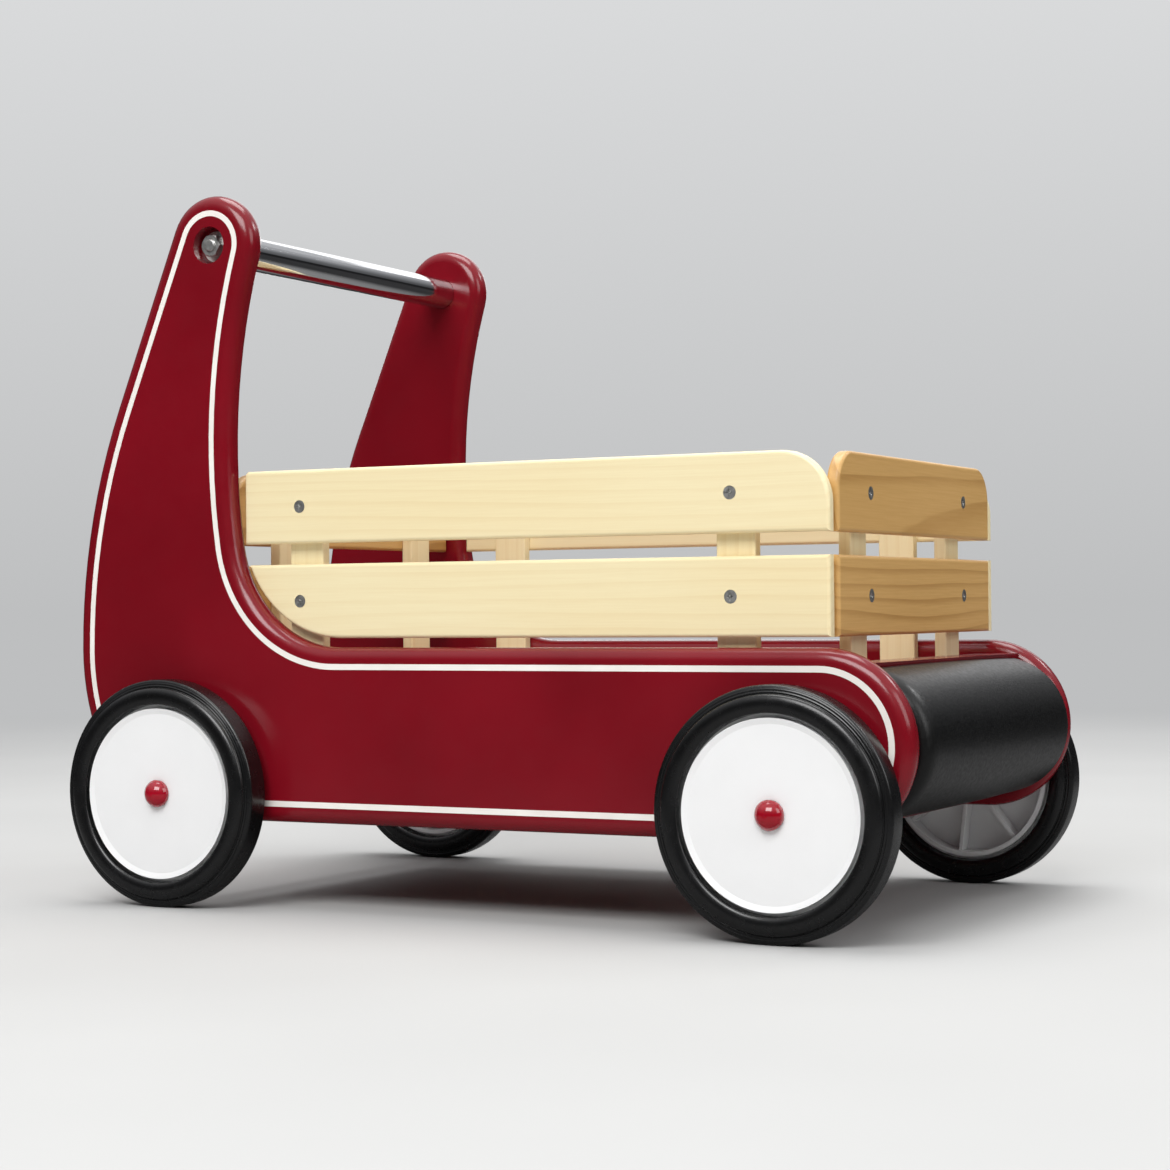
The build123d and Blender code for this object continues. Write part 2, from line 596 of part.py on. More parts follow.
def push_nut():
    """The steel ring in a hub cap that grips the axle."""
    bottom = cap_base + 0.2
    return ring(PUSH_NUT_DIAMETER / 2, AXLE_DIAMETER / 2 + SEAT_GAP / 2,
                bottom, bottom + PUSH_NUT_THICKNESS)


def bushing():
    """A flanged nylon bushing in its panel."""
    sleeve = ring(BUSHING_DIAMETER / 2, bore_radius, inner_y, outer_y)
    return sleeve + ring(BUSHING_FLANGE_DIAMETER / 2, bore_radius, outer_y, outer_y + BUSHING_FLANGE)


def spacer():
    """The washer between bushing and hub."""
    return ring(SPACER_DIAMETER / 2, bore_radius, outer_y + BUSHING_FLANGE + FACE_GAP,
                hub_end - FACE_GAP)


def at_wheel(piece, x, side):
    """Turns a piece drawn about Z, outboard up, into its place at a wheel. side is 1 on the left."""
    return Pos(x, 0, axle_z) * Rot(X=-90 * side) * piece


def at_bar(piece, side):
    """The same at one end of the push bar."""
    return Pos(bar_x, 0, bar_z) * Rot(X=-90 * side) * piece


def bar_nut():
    """A hex nut on the rod, in the panel's recess."""
    base = outer_y - COUNTERBORE_DEPTH + WASHER_THICKNESS
    bore = ROD_DIAMETER / 2 + SEAT_GAP / 2
    hexagon = RegularPolygon(NUT_ACROSS_FLATS / 2, 6, major_radius=False)
    nut = extrude(Plane.XY.offset(base) * (hexagon - Circle(bore)), amount=NUT_HEIGHT)
    corner = NUT_ACROSS_FLATS / math.sqrt(3)
    crown = Pos(Z=base + NUT_HEIGHT / 2) * Cylinder(corner, NUT_HEIGHT)
    return nut & chamfer(crown.edges().filter_by(GeomType.CIRCLE), 0.9)


def bar_washer():
    """The washer under the nut."""
    base = outer_y - COUNTERBORE_DEPTH
    return ring(WASHER_DIAMETER / 2, ROD_DIAMETER / 2 + 2 * SEAT_GAP, base, base + WASHER_THICKNESS)


def save(name, *pieces):
    """Writes one node: a solid, or a group of separate solids."""
    solids = [solid for piece in pieces for solid in piece.solids()]
    shape = solids[0] if len(solids) == 1 else Compound(solids)
    export_step(shape, f"parts/{name}.step")


def save_body():
    """Everything that is fixed to the side panels."""
    panel = side_panel()
    save("right_side_panel", panel)
    save("left_side_panel", left_of(panel))
    save("front_board", end_board(front_board_x, 1, "front"))
    save("rear_board", end_board(rear_board_x, -1, "rear"))
    save("floor_board", floor_board())
    cleat = floor_cleat()
    save("floor_cleats", cleat, left_of(cleat))
    pins = [dowel(place) for place in dowels()]
    save("board_dowels", *pins, *map(left_of, pins))
    for name, size, places in (("cleat_screws", CLEAT_SCREW, cleat_screws),
                               ("floor_screws", FLOOR_SCREW, floor_screws)):
        screws = [facing(place, way, flat_screw(size)) for place, way in places]
        save(name, *screws, *map(left_of, screws))
    save("bumper_block", bumper_block())
    save("bumper_pad", bumper_pad())
    save("bumper_screws", *[facing(place, way, flat_screw(BLOCK_SCREW)) for place, way in block_screws])


def save_push_bar():
    """The push bar with its rod, washers and nuts."""
    half_bar = inner_y + BAR_SOCKET
    half_rod = outer_y - ROD_RECESS
    save("push_bar", at_bar(ring(BAR_DIAMETER / 2, BAR_DIAMETER / 2 - BAR_WALL, -half_bar, half_bar), 1))
    through = at_bar(rod((0, 0, -half_rod), (0, 0, 1), ROD_DIAMETER / 2, 2 * half_rod), 1)
    save("push_bar_rod", chamfer(through.edges().filter_by(GeomType.CIRCLE), 0.8))
    save("push_bar_washers", *[at_bar(bar_washer(), side) for side in (-1, 1)])
    save("push_bar_nuts", *[at_bar(bar_nut(), side) for side in (-1, 1)])


def save_running_gear():
    """Axles, their fittings and the four wheels."""
    stations = [(x, side) for x in (front_axle_x, rear_axle_x) for side in (-1, 1)]
    for name, x in (("front_axle", front_axle_x), ("rear_axle", rear_axle_x)):
        save(name, at_wheel(rod((0, 0, -axle_end), (0, 0, 1), AXLE_DIAMETER / 2, 2 * axle_end), x, 1))
    fittings = {"axle_bushings": bushing(), "wheel_spacers": spacer(), "hub_caps": hub_cap(),
                "push_nuts": push_nut()}
    for name, piece in fittings.items():
        save(name, *[at_wheel(piece, x, side) for x, side in stations])
    rubber = Pos(Z=wheel_middle) * tyre()
    plastic = Pos(Z=wheel_middle) * rim()
    for end, x in (("front", front_axle_x), ("rear", rear_axle_x)):
        for hand, side in (("right", -1), ("left", 1)):
            save(f"{end}_{hand}_tyre", at_wheel(rubber, x, side))
            save(f"{end}_{hand}_rim", at_wheel(plastic, x, side))


def save_sections():
    """The four lift-out rail sections."""
    side = {"lower_rail": side_rails()[0], "upper_rail": side_rails()[1]}
    end = {"lower_rail": end_rails()[0], "upper_rail": end_rails()[1]}
    for name, rails in (("right", side), ("front", end), ("rear", end)):
        frame = sections[name]
        holes = rail_holes(name)
        low, high = stake_places[name]
        pieces = {kind: blank - holes for kind, blank in rails.items()}
        pieces["stake_a"] = stake(low) - holes
        pieces["stake_b"] = stake(high) - holes
        pieces = {kind: frame * piece for kind, piece in pieces.items()}
        screws = [frame * (Pos(place) * flat_screw(RAIL_SCREW)) for place in rail_screw_places(name)]
        for kind, piece in pieces.items():
            save(f"{name}_{kind}", piece)
        save(f"{name}_rail_screws", *screws)
        if name == "right":
            for kind, piece in pieces.items():
                save(f"left_{kind}", left_of(piece))
            save("left_rail_screws", *map(left_of, screws))


def save_pockets():
    """The stake pockets and their screws."""
    pockets = []
    screws = []
    for name, frame in sections.items():
        here = [frame * pocket(u) for u in stake_places[name]]
        fixings = [frame * (Pos(place) * Rot(X=180) * pan_screw(POCKET_SCREW))
                   for place in pocket_screw_places(name)]
        pockets += here
        screws += fixings
        if name == "right":
            pockets += map(left_of, here)
            screws += map(left_of, fixings)
    save("stake_pockets", *pockets)
    save("pocket_screws", *screws)


os.makedirs("parts", exist_ok=True)
save_body()
save_push_bar()
save_running_gear()
save_sections()
save_pockets()
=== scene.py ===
"""The looks of a child's push wagon: enamelled side panels, pine rails, a chrome push bar,
rubber-tyred wheels and a moulded foam bumper, on a pale floor in soft studio light."""

import json
import math

import bmesh
import bpy
from mathutils import Matrix, Vector


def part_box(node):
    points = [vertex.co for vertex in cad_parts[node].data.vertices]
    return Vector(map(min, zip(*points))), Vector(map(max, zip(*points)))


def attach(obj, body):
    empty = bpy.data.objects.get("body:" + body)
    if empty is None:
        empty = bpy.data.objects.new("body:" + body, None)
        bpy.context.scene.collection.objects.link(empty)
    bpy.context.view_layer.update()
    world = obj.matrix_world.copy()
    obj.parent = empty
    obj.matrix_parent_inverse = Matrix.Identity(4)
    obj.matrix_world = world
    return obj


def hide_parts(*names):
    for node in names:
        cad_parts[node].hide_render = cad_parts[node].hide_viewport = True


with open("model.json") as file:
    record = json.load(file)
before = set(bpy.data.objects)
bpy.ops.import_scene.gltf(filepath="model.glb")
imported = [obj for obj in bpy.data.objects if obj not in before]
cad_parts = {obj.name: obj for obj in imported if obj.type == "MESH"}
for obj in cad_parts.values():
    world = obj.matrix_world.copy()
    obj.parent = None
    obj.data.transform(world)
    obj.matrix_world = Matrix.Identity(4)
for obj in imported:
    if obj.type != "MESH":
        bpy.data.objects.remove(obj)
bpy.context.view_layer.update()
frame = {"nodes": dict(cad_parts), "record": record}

MM = 0.001
MERGE_DISTANCE = 0.01 * MM     # points nearer than this are one
WAVE_PERIOD = math.pi / 10     # spacing in metres of a wave texture's bands at scale 1
NOISE_PERIOD = 1.0             # spacing in metres of a noise texture's lumps at scale 1
LUMPS_LOW = 0.3                # a noise texture seldom leaves this range
LUMPS_HIGH = 0.7

# The wood's pattern. Each stretch is how much longer than wide the pattern is, along the grain.
RING_STRETCH = 8.0
RING_SWAY = 30 * MM            # how far the rings wander out of round
SWAY_SIZE = 60 * MM            # from one such wander to the next
RING_DISTORTION = 1.2
PATCH_SIZE = 70 * MM           # areas where the rings show more or less
PATCH_STRETCH = 3.0
FAINTEST_RINGS = 0.35          # how much they show where they show least, as a share of the most
WARMEST = 0.35                 # share of the warm tone where they show most
FIBRE_SIZE = 0.9 * MM          # finer than 0.3 mm in real wood, but drawn coarser so that it shows
FIBRE_STRETCH = 40.0
FIBRE_TONE = 0.16              # most that a fibre darkens the wood
FIBRE_DEPTH = 0.012 * MM

# The side panel's outline, as it was sawn
UPRIGHT_RADIUS = 32.5 * MM
BAR_SETBACK = 109.4 * MM       # back of the panel to the push bar's middle
BACK_LEAN = math.radians(22.6)
BACK_ARC = 420 * MM
HEEL_ARC = 150 * MM
HEEL_CORNER = 75 * MM
WAIST_SETBACK = 122.5 * MM
WAIST_ARC = 420 * MM
SWEEP_RADIUS = 77 * MM
BED_OVER_BOARD = 9 * MM        # panels' upper edge above the front board

# The painted line
LINE_INSET = 12 * MM           # panel's edge to the middle of the line
LINE_WIDTH = 3.7 * MM
LINE_PROUD = 0.12 * MM         # how far the coat of paint stands above the panel
LINE_THICKNESS = 0.2 * MM      # what doesn't stand proud lies within the enamel
ARC_STEP = math.radians(2)     # one face of the line round a curve

# The foam bumper
FOAM_RADIUS = 44.7 * MM
FOAM_AHEAD = 15.3 * MM         # centre of the foam's round ahead of the noses' centre
FOAM_DROP = 9 * MM             # how far the ends turn down
FOAM_END_ROUND = 15 * MM       # how far in from its ends the sleeve begins to turn down
FOAM_END_FULLNESS = 0.75       # below 1 is squarer than a quarter ellipse
FOAM_END_POINTS = 12
FOAM_COLUMNS = 12              # faces from an end's round to the middle
FOAM_CROWN = 0.8 * MM          # how much fuller the middle is than the ends
FOAM_TOP_ANGLE = math.radians(78)    # its upper edge, up from straight ahead
FOAM_ROWS = 56                 # steps from its upper edge to its lower one
BLOCK_RADIUS = 45 * MM         # the wood block that the foam lies on, with the glue

# The tyres
TYRE_STEPS = 144               # steps round the wheel
BEAD_DROP = 2.4 * MM           # the bulge's crest stands this far out from the bead at the rim
SHOULDER_DROP = 3.6 * MM       # and this far out from the shoulder
BULGE_PLACE = 0.34             # middle of the bulge, as a share of the tyre's depth
BULGE_FULLNESS = 0.75          # below 1 is squarer than a half circle
BULGE_POINTS = 16
SHOULDER_RIDGES = 2
RIDGE_STEP = 1.6 * MM
RIDGE_HEIGHT = 0.35 * MM
RIDGE_FALL = 0.25 * MM
RIDGE_POINTS = 6
SHOULDER_POINTS = 6


# ---------------------------------------------------------------- materials

def linear(hex_colour):
    """An sRGB hex colour as linear red, green, blue and alpha."""
    channels = [int(hex_colour[i:i + 2], 16) / 255 for i in (1, 3, 5)]
    curve = [c / 12.92 if c <= 0.04045 else ((c + 0.055) / 1.055) ** 2.4 for c in channels]
    return (*curve, 1.0)


def add(tree, kind, inputs=None, stops=None, **settings):
    """Adds a node. inputs are values or other nodes' outputs, and stops are a ramp's colours."""
    node = tree.nodes.new(kind)
    for name, value in settings.items():
        setattr(node, name, value)
    for name, value in (inputs or {}).items():
        if isinstance(value, bpy.types.NodeSocket):
            tree.links.new(value, node.inputs[name])
        else:
            node.inputs[name].default_value = value
    if stops:
        elements = node.color_ramp.elements
        elements.remove(elements[1])
        elements[0].position = stops[0][0]
        elements[0].color = linear(stops[0][1])
        for where, colour in stops[1:]:
            elements.new(where).color = linear(colour)
    return node


def blank_finish(name):
    """A new material, its empty node tree and its Object coordinates."""
    material = bpy.data.materials.new(name)
    material.use_nodes = True
    tree = material.node_tree
    tree.nodes.clear()
    place = add(tree, "ShaderNodeTexCoord").outputs["Object"]
    return material, tree, place


def lumps(tree, place, size, detail=2.0, stretch=(1, 1, 1)):
    """Soft unevenness from 0 to 1, its lumps this far apart in metres and drawn out along an axis."""
    drawn = add(tree, "ShaderNodeMapping", {"Vector": place, "Scale": [1 / s for s in stretch]})
    noise = add(tree, "ShaderNodeTexNoise", {
        "Vector": drawn.outputs["Vector"], "Scale": NOISE_PERIOD / size, "Detail": detail})
    return noise.outputs["Fac"]


def stretched(along, amount):
    """A stretch by this amount along one axis, 0 to 2, and none across it."""
    return [amount if axis == along else 1.0 for axis in range(3)]


def surface(tree, colour, gloss, reliefs, **even):
    """Ends a material with its shader. colour is an output, or lumps and the two near tones that the
    colour wanders between. gloss is lumps and the least and the greatest roughness. Each relief is a
    height from 0 to 1 and its depth in metres. even holds what is the same all over the surface."""
    if isinstance(colour, tuple):
        tone, dark, light = colour
        colour = add(tree, "ShaderNodeValToRGB", {"Fac": tone},
                     stops=[(LUMPS_LOW, dark), (LUMPS_HIGH, light)]).outputs["Color"]
    unevenness, smoothest, roughest = gloss
    roughness = add(tree, "ShaderNodeMapRange", {
        "Value": unevenness, "From Min": LUMPS_LOW, "From Max": LUMPS_HIGH,
        "To Min": smoothest, "To Max": roughest})
    inputs = {socket.replace("_", " "): value for socket, value in even.items()}
    inputs["Base Color"] = colour
    inputs["Roughness"] = roughness.outputs["Result"]
    for height, depth in reliefs:
        relief = {"Height": height, "Distance": depth, "Strength": 1.0}
        if "Normal" in inputs:
            relief["Normal"] = inputs["Normal"]
        inputs["Normal"] = add(tree, "ShaderNodeBump", relief).outputs["Normal"]
    shader = add(tree, "ShaderNodeBsdfPrincipled", inputs)
    add(tree, "ShaderNodeOutputMaterial", {"Surface": shader.outputs["BSDF"]})


def red_enamel():
    """Sprayed gloss enamel on sanded wood: deep crimson, soft wide highlights, faint orange peel."""
    material, tree, place = blank_finish("red_enamel")
    grain_under_coat = lumps(tree, place, 3 * MM, 2, (14, 1, 1))
    orange_peel = lumps(tree, place, 1.6 * MM, 1)
    surface(tree, (lumps(tree, place, 90 * MM), "#730A17", "#7F0E1C"),
            (lumps(tree, place, 14 * MM, 4), 0.17, 0.23),
            [(grain_under_coat, 0.006 * MM), (orange_peel, 0.004 * MM)],
            IOR=1.47, Coat_Weight=0.12, Coat_Roughness=0.06, Coat_IOR=1.47)
    return material


def cream_line_paint():
    """Screen-printed enamel line: warm white, a little rougher than the coat it lies on."""
    material, tree, place = blank_finish("cream_line_paint")
    surface(tree, (lumps(tree, place, 30 * MM), "#EFE9E2", "#F8F4EE"),
            (lumps(tree, place, 4 * MM), 0.34, 0.46),
            [(lumps(tree, place, 1.6 * MM), 0.004 * MM)], IOR=1.5)
    return material


def sawn_wood(name, along, pith, ring, tones, contrast):
    """Clear-lacquered pine or beech: growth rings cut by the board's face, fine fibres along it and
    a satin coat. along is the grain's axis, pith a point on the tree's middle line, ring the rings'
    spacing, tones its early wood, late wood and warm patches, and contrast how much the rings show."""
    material, tree, place = blank_finish(name)
    early, late, warm = tones
    centred = add(tree, "ShaderNodeMapping", {
        "Vector": place, "Location": [-c for c in pith]}).outputs["Vector"]

    # The trunk wanders a little, so the rings do too.
    drawn = add(tree, "ShaderNodeMapping", {
        "Vector": centred,
        "Scale": [1 / s for s in stretched(along, RING_STRETCH)]}).outputs["Vector"]
    wander = add(tree, "ShaderNodeTexNoise", {
        "Vector": drawn, "Scale": NOISE_PERIOD / SWAY_SIZE, "Detail": 1.5})
    sway = add(tree, "ShaderNodeVectorMath", {
        0: wander.outputs["Color"], 1: (0.5, 0.5, 0.5)}, operation="SUBTRACT")
    swayed = add(tree, "ShaderNodeVectorMath", {
        0: sway.outputs["Vector"], 1: (RING_SWAY,) * 3, 2: drawn}, operation="MULTIPLY_ADD")
    rings = add(tree, "ShaderNodeTexWave", {
        "Vector": swayed.outputs["Vector"], "Scale": WAVE_PERIOD / ring,
        "Distortion": RING_DISTORTION, "Detail": 2.0, "Detail Scale": 1.5},
        wave_type="RINGS", rings_direction="XYZ"[along], wave_profile="SAW")

    # Each ring is pale early wood that darkens slowly into late wood and ends sharply.
    ringed = add(tree, "ShaderNodeValToRGB", {"Fac": rings.outputs["Fac"]}, stops=[
        (0.0, early), (0.55, early), (0.90, late), (0.97, late), (1.0, early)])
    patch = lumps(tree, centred, PATCH_SIZE, 1, stretched(along, PATCH_STRETCH))
    strength = add(tree, "ShaderNodeMapRange", {
        "Value": patch, "From Min": LUMPS_LOW, "From Max": LUMPS_HIGH,
        "To Min": FAINTEST_RINGS * contrast, "To Max": contrast})
    grained = add(tree, "ShaderNodeMix", {
        "Factor": strength.outputs["Result"], "A": linear(early), "B": ringed.outputs["Color"]},
        data_type="RGBA")
    warmth = add(tree, "ShaderNodeMapRange", {
        "Value": patch, "From Min": LUMPS_LOW, "From Max": LUMPS_HIGH, "To Max": WARMEST})
    warmed = add(tree, "ShaderNodeMix", {
        "Factor": warmth.outputs["Result"], "A": grained.outputs["Result"], "B": linear(warm)},
        data_type="RGBA")

    fibre = lumps(tree, centred, FIBRE_SIZE, 3, stretched(along, FIBRE_STRETCH))
    thickness = add(tree, "ShaderNodeMapRange", {
        "Value": fibre, "From Min": LUMPS_LOW, "From Max": LUMPS_HIGH, "To Max": FIBRE_TONE})
    fibred = add(tree, "ShaderNodeMix", {
        "Factor": thickness.outputs["Result"], "A": warmed.outputs["Result"], "B": linear(late)},
        data_type="RGBA")
    surface(tree, fibred.outputs["Result"], (fibre, 0.36, 0.50), [(fibre, FIBRE_DEPTH)],
            IOR=1.5, Coat_Weight=0.25, Coat_Roughness=0.25, Coat_IOR=1.5)
    return material


def bright_chrome():
    """Chrome plate on drawn tube: mirror bright, with the faintest draw lines along the bar."""
    material, tree, place = blank_finish("bright_chrome")
    draw_lines = lumps(tree, place, 1.2 * MM, 2, (1, 60, 1))
    surface(tree, (draw_lines, "#DADBDD", "#E6E7E9"), (draw_lines, 0.05, 0.11),
            [(draw_lines, 0.002 * MM)], Metallic=1.0)
    return material


def plated_steel(name, dark, bright, smoothest, roughest):
    """Zinc-plated or drawn steel: cloudy bright grey with fine scratches."""
    material, tree, place = blank_finish(name)
    cloud = lumps(tree, place, 2.5 * MM, 4)
    scratches = lumps(tree, place, 0.5 * MM, 2, (6, 1, 1))
    surface(tree, (cloud, dark, bright), (cloud, smoothest, roughest),
            [(scratches, 0.004 * MM)], Metallic=1.0)
    return material


def tyre_rubber():
    """Moulded black rubber: satin skin, fine pores, grey where it has bloomed."""
    material, tree, place = blank_finish("tyre_rubber")
    bloom = lumps(tree, place, 28 * MM, 3)
    pores = lumps(tree, place, 0.8 * MM, 2)
    surface(tree, (bloom, "#0B0B0B", "#121213"), (lumps(tree, place, 6 * MM, 3), 0.22, 0.29),
            [(pores, 0.006 * MM)], IOR=1.55)
    return material


def moulded_plastic(name, dark, light, smoothest, roughest, **even):
    """Injection-moulded plastic: even colour, a smooth skin with slight sink and flow marks."""
    material, tree, place = blank_finish(name)
    flow_marks = lumps(tree, place, 25 * MM)
    surface(tree, (flow_marks, dark, light),
            (lumps(tree, place, 12 * MM, 1), smoothest, roughest),
            [(flow_marks, 0.004 * MM)], **even)
    return material


def skinned_foam():
    """Skinned foam: near black, with a leather-like pebble that breaks the light into specks."""
    material, tree, place = blank_finish("skinned_foam")
    dents = lumps(tree, place, 9 * MM)
    # Pebbles are about 1 mm across, drawn at 1.5 mm so that they show.
    pebble = add(tree, "ShaderNodeTexVoronoi", {
        "Vector": place, "Scale": 1 / (1.5 * MM)}, feature="SMOOTH_F1")
    crown = add(tree, "ShaderNodeMath", {0: 1.0, 1: pebble.outputs["Distance"]},
                operation="SUBTRACT")
    surface(tree, (lumps(tree, place, 20 * MM, 3), "#0A0A0A", "#0F0F0F"),
            (lumps(tree, place, 2.2 * MM, 3), 0.30, 0.44),
            [(dents, 0.12 * MM), (crown.outputs["Value"], 0.045 * MM)], IOR=1.45)
    return material


# ---------------------------------------------------------------- shapes

def piece(name, bm, material, body="wagon", smooth=True):
    """Makes a finished piece from its mesh, at the origin, riding on a body."""
    bmesh.ops.remove_doubles(bm, verts=bm.verts, dist=MERGE_DISTANCE)
    bmesh.ops.recalc_face_normals(bm, faces=bm.faces)
    mesh = bpy.data.meshes.new(name)
    bm.to_mesh(mesh)
    bm.free()
    made = bpy.data.objects.new(name, mesh)
    bpy.context.scene.collection.objects.link(made)
    mesh.materials.append(material)
    for polygon in mesh.polygons:
        polygon.use_smooth = smooth
    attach(made, body)
    return made


def swept_line(section, turns):
    """Sweeps a closed section along a route that lies flat on a panel. A turn is a straight run and
    two blanks, or a blank, a centre and an angle to go round it."""
    bm = bmesh.new()
    verts = [bm.verts.new(point) for point in section]
    edges = [bm.edges.new(pair) for pair in zip(verts, verts[1:] + verts[:1])]
    for run, centre, angle in turns:
        if run:
            made = bmesh.ops.extrude_edge_only(bm, edges=edges)["geom"]
            verts = [v for v in made if isinstance(v, bmesh.types.BMVert)]
            bmesh.ops.translate(bm, verts=verts, vec=run)
            edges = [e for e in made if isinstance(e, bmesh.types.BMEdge)
                     and all(v in verts for v in e.verts)]
        else:
            steps = max(2, round(abs(angle) / ARC_STEP))
            made = bmesh.ops.spin(bm, geom=verts + edges, cent=centre, axis=(0, 1, 0),
                                  angle=angle, steps=steps, use_merge=False)["geom_last"]
            verts = [v for v in made if isinstance(v, bmesh.types.BMVert)]
            edges = [e for e in made if isinstance(e, bmesh.types.BMEdge)]
    return bm


def flat_angle(vector):
    """A direction's angle in the X and Z plane, from +X towards +Z."""
    return math.atan2(vector.z, vector.x)


def nose_round():
    """The centre and the radius of the round front ends of the side panels."""
    low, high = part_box("right_side_panel")
    bed_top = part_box("front_board")[1].z + BED_OVER_BOARD
    radius = (bed_top - low.z) / 2
    return Vector((high.x - radius, 0, low.z + radius)), radius


def painted_line(side):
    """The line round a side panel's outer face, a fixed distance in from its edge."""
    low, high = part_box("right_side_panel")
    nose, nose_radius = nose_round()
    bed_top = nose.z + nose_radius
    bar = Vector((low.x + BAR_SETBACK, 0, high.z - UPRIGHT_RADIUS))
    normal = Vector((-math.cos(BACK_LEAN), 0, math.sin(BACK_LEAN)))
    back_top = bar + normal * UPRIGHT_RADIUS
    back = Vector((low.x + BACK_ARC, 0, 0))
    back.z = (normal.dot(back_top) - BACK_ARC - normal.x * back.x) / normal.z
    heel = Vector((low.x + HEEL_ARC, 0, back.z))
    corner = Vector((0, 0, low.z + HEEL_CORNER))
    corner.x = heel.x - math.sqrt((HEEL_ARC - HEEL_CORNER) ** 2 - (back.z - corner.z) ** 2)
    waist = Vector((low.x + WAIST_SETBACK + WAIST_ARC, 0, 0))
    waist.z = bar.z - math.sqrt((WAIST_ARC + UPRIGHT_RADIUS) ** 2 - (waist.x - bar.x) ** 2)
    sweep = Vector((0, 0, bed_top + SWEEP_RADIUS))
    sweep.x = waist.x - math.sqrt((WAIST_ARC - SWEEP_RADIUS) ** 2 - (waist.z - sweep.z) ** 2)
    rearward = math.pi
    downward = 3 * math.pi / 2
    heel_turn = flat_angle(corner - heel) % (2 * math.pi)
    back_turn = flat_angle(normal)
    top_turn = flat_angle(waist - bar)
    waist_turn = flat_angle(sweep - waist) % (2 * math.pi)
    # Forward along the bed, round the nose, back along the bottom, and up and over the upright.
    turns = [
        (Vector((nose.x - sweep.x, 0, 0)), None, None),
        (None, nose, math.pi),
        (Vector((corner.x - nose.x, 0, 0)), None, None),
        (None, corner, downward - heel_turn),
        (None, heel, heel_turn - rearward),
        (None, back, rearward - back_turn),
        (back_top - back - normal * BACK_ARC, None, None),
        (None, bar, back_turn - top_turn),
        (None, waist, top_turn + math.pi - waist_turn),
        (None, sweep, waist_turn - downward),
    ]
    outer = low.y - LINE_PROUD
    inner = outer + LINE_THICKNESS
    upper = bed_top - LINE_INSET + LINE_WIDTH / 2
    lower = upper - LINE_WIDTH
    section = [(sweep.x, outer, lower), (sweep.x, outer, upper),
               (sweep.x, inner, upper), (sweep.x, inner, lower)]
    bm = swept_line(section, turns)
    if side == "left":
        bmesh.ops.scale(bm, verts=bm.verts, vec=(1, -1, 1))
    return bm


def foam_section(half):
    """The sleeve's section from end to end as (across, out) points: crowned, with ends turned down.
    half is half its width. The first and last points lie on the block."""
    points = []
    for step in range(FOAM_END_POINTS):
        turn = math.pi / 2 * step / FOAM_END_POINTS
        points.append((half - FOAM_END_ROUND * (1 - math.cos(turn) ** FOAM_END_FULLNESS),
                       FOAM_DROP * math.sin(turn) ** FOAM_END_FULLNESS))
    reach = half - FOAM_END_ROUND
    for step in range(FOAM_COLUMNS):
        share = 1 - step / FOAM_COLUMNS
        points.append((reach * share, FOAM_DROP + FOAM_CROWN * (1 - share ** 2)))
    mirrored = [(-across, out) for across, out in reversed(points)]
    return points + [(0.0, FOAM_DROP + FOAM_CROWN)] + mirrored


def foam_bumper():
    """The foam sleeve round the bed's front: thickest straight ahead, with soft rounded ends."""
    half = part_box("bumper_pad")[1].y
    nose = nose_round()[0]
    centre = nose + Vector((FOAM_AHEAD, 0, 0))
    inner = FOAM_RADIUS - FOAM_DROP
    slope = Vector((math.cos(FOAM_TOP_ANGLE), 0, math.sin(FOAM_TOP_ANGLE)))
    bm = bmesh.new()
    section = [bm.verts.new(centre + slope * (inner + out) + Vector((0, across, 0)))
               for across, out in foam_section(half)]
    first = bm.faces.new(section)
    bmesh.ops.spin(bm, geom=[first], cent=centre, axis=(0, 1, 0),
                   angle=FOAM_TOP_ANGLE + math.pi / 2, steps=FOAM_ROWS, use_merge=False)
    for vert in bm.verts:
        across = Vector((0, vert.co.y, 0))
        if (vert.co - across - centre).length < inner + MERGE_DISTANCE:
            vert.co = nose + (vert.co - across - nose).normalized() * BLOCK_RADIUS + across
    return bm


def tyre_section(seat, crown, half):
    """One side of a tyre's section as (radius, outwards) points, from the seat on the rim to the
    crown of the tread. half is half the tyre's width."""
    depth = crown - seat
    bulge_radius = seat + BULGE_PLACE * depth
    bulge_half = BULGE_PLACE * depth
    edge = seat + 2 * bulge_half
    points = []
    for step in range(BULGE_POINTS + 1):
        turn = math.pi * (1 - step / BULGE_POINTS)
        drop = BEAD_DROP if step < BULGE_POINTS / 2 else SHOULDER_DROP
        points.append((bulge_radius + bulge_half * math.cos(turn),
                       half - drop * (1 - math.sin(turn) ** BULGE_FULLNESS)))
    for ridge in range(SHOULDER_RIDGES):
        start = edge + ridge * RIDGE_STEP
        for step in range(1, RIDGE_POINTS + 1):
            turn = math.pi * step / RIDGE_POINTS
            points.append((start + RIDGE_STEP * step / RIDGE_POINTS,
                           half - SHOULDER_DROP - ridge * RIDGE_FALL
                           + RIDGE_HEIGHT * math.sin(turn)))
    shoulder = points[-1]
    for step in range(1, SHOULDER_POINTS + 1):
        turn = math.pi / 2 * step / SHOULDER_POINTS
        points.append((shoulder[0] + (crown - shoulder[0]) * math.sin(turn),
                       shoulder[1] - (crown - shoulder[0]) * (1 - math.cos(turn))))
    return points


